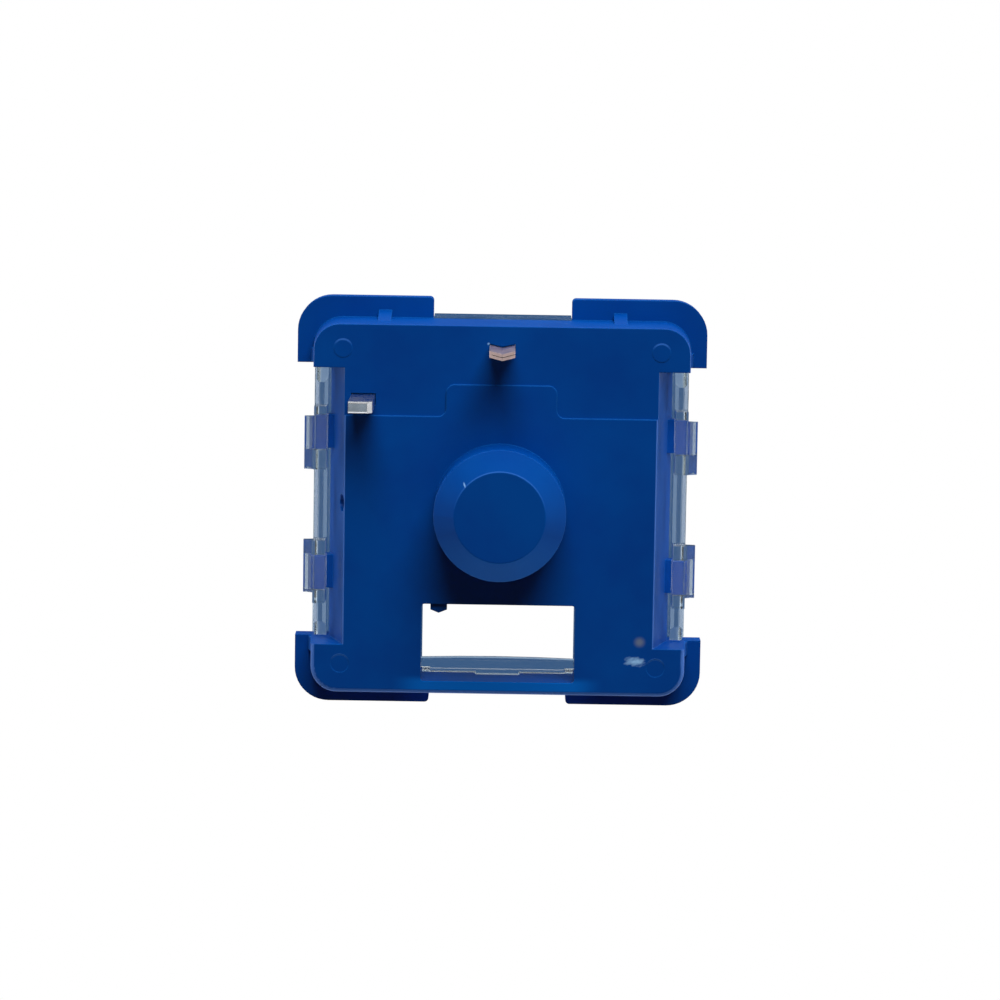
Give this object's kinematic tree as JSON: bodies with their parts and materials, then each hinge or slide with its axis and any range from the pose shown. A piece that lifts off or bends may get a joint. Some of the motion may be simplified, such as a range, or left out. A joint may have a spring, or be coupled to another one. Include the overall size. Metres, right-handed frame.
{
  "type": "low profile keyboard switch",
  "caption": "Low profile mechanical key switch: clear cover clipped over a square flanged body, with a sprung cross stem, a round centre post and solder pins below.",
  "frame": {"origin": "on the axis of the centre post, in the plane of the face that rests on the circuit board", "axes": "+Z is the way the key comes up, +Y points from the centre post to the contact pins, so the lamp window is at -Y, and +X is the side of the outer pin"},
  "size_m": [0.015, 0.015, 0.0119],
  "materials": {
    "housing_plastic": "moulded nylon, deep blue, fine satin",
    "clear_plastic": "moulded clear polycarbonate, polished",
    "stem_plastic": "moulded acetal, natural white, smooth",
    "spring_wire": "drawn stainless wire",
    "plated_strip": "stamped strip, dull tin plated",
    "copper_strip": "rolled copper alloy strip, bright",
    "contact_metal": "gold alloy, welded"
  },
  "bodies": {
    "housing": {"bottom_housing": "housing_plastic", "top_housing": "clear_plastic", "return_spring": "spring_wire", "fixed_terminal": "plated_strip", "moving_contact": "copper_strip", "fixed_contact_point": "contact_metal", "moving_contact_point": "contact_metal"},
    "key_stem": {"stem": "stem_plastic"}
  },
  "joints": [
    {"name": "stem_press", "type": "slide", "parent": "housing", "child": "key_stem", "axis": [0, 0, -1], "range_m": [0, 0.0032], "stiffness_N_per_m": 78, "springref_m": -0.00436, "deforming": ["return_spring"]}
  ]
}
